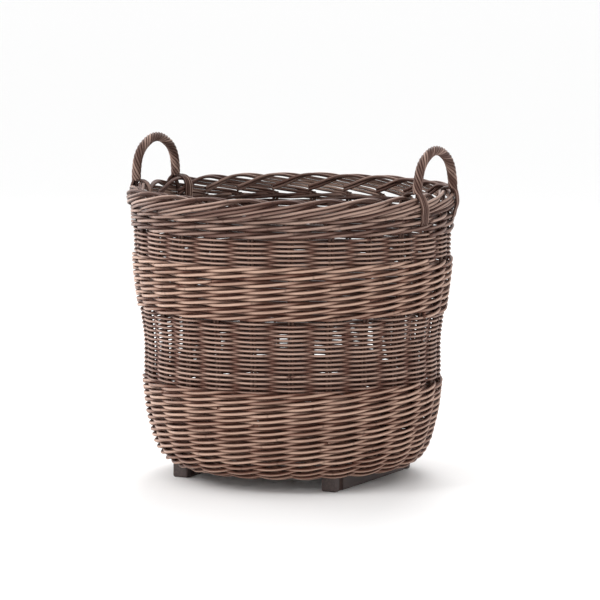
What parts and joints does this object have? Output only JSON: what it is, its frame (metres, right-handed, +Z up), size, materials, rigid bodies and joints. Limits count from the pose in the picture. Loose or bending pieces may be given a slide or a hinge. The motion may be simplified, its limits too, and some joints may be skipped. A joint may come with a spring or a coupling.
{
  "type": "wicker log basket",
  "caption": "Round wicker basket for logs, with a braided rim, twisted hoop handles and wooden runners underneath.",
  "frame": {"origin": "on the floor, under the middle of the basket", "axes": "+Z up, X through the two handles, Y along the runners"},
  "size_m": [0.5236, 0.52, 0.5296],
  "materials": {
    "runner_wood": "dark stained wood, satin, with grain along the skid",
    "thick_cane": "stained round cane, satin, tan where the stain is worn",
    "thin_cane": "stained round cane, satin, darker in the gaps",
    "stake_cane": "stained round cane, satin, darker than the wales",
    "binding_cane": "thin stained binding cane, satin",
    "handle_cane": "stained cane twisted into rope, satin",
    "bow_wood": "plain rod, hidden inside the rope"
  },
  "bodies": {
    "root": {"runner_left": "runner_wood", "runner_right": "runner_wood", "lashing_left_front": "binding_cane", "lashing_left_back": "binding_cane", "lashing_right_front": "binding_cane", "lashing_right_back": "binding_cane", "base_sticks_lengthwise": "stake_cane", "base_sticks_crosswise": "stake_cane", "base_weave": "thin_cane", "side_stakes": "stake_cane", "bottom_wale": "thick_cane", "lower_randing": "thin_cane", "middle_wale": "thick_cane", "upper_randing": "thin_cane", "top_wale": "thick_cane", "border": "stake_cane", "handle_bow_left": "bow_wood", "handle_rope_left": "handle_cane", "outside_tails_left_front": "handle_cane", "inside_tails_left_front": "handle_cane", "outside_tails_left_back": "handle_cane", "inside_tails_left_back": "handle_cane", "handle_bow_right": "bow_wood", "handle_rope_right": "handle_cane", "outside_tails_right_front": "handle_cane", "inside_tails_right_front": "handle_cane", "outside_tails_right_back": "handle_cane", "inside_tails_right_back": "handle_cane"}
  },
  "joints": []
}
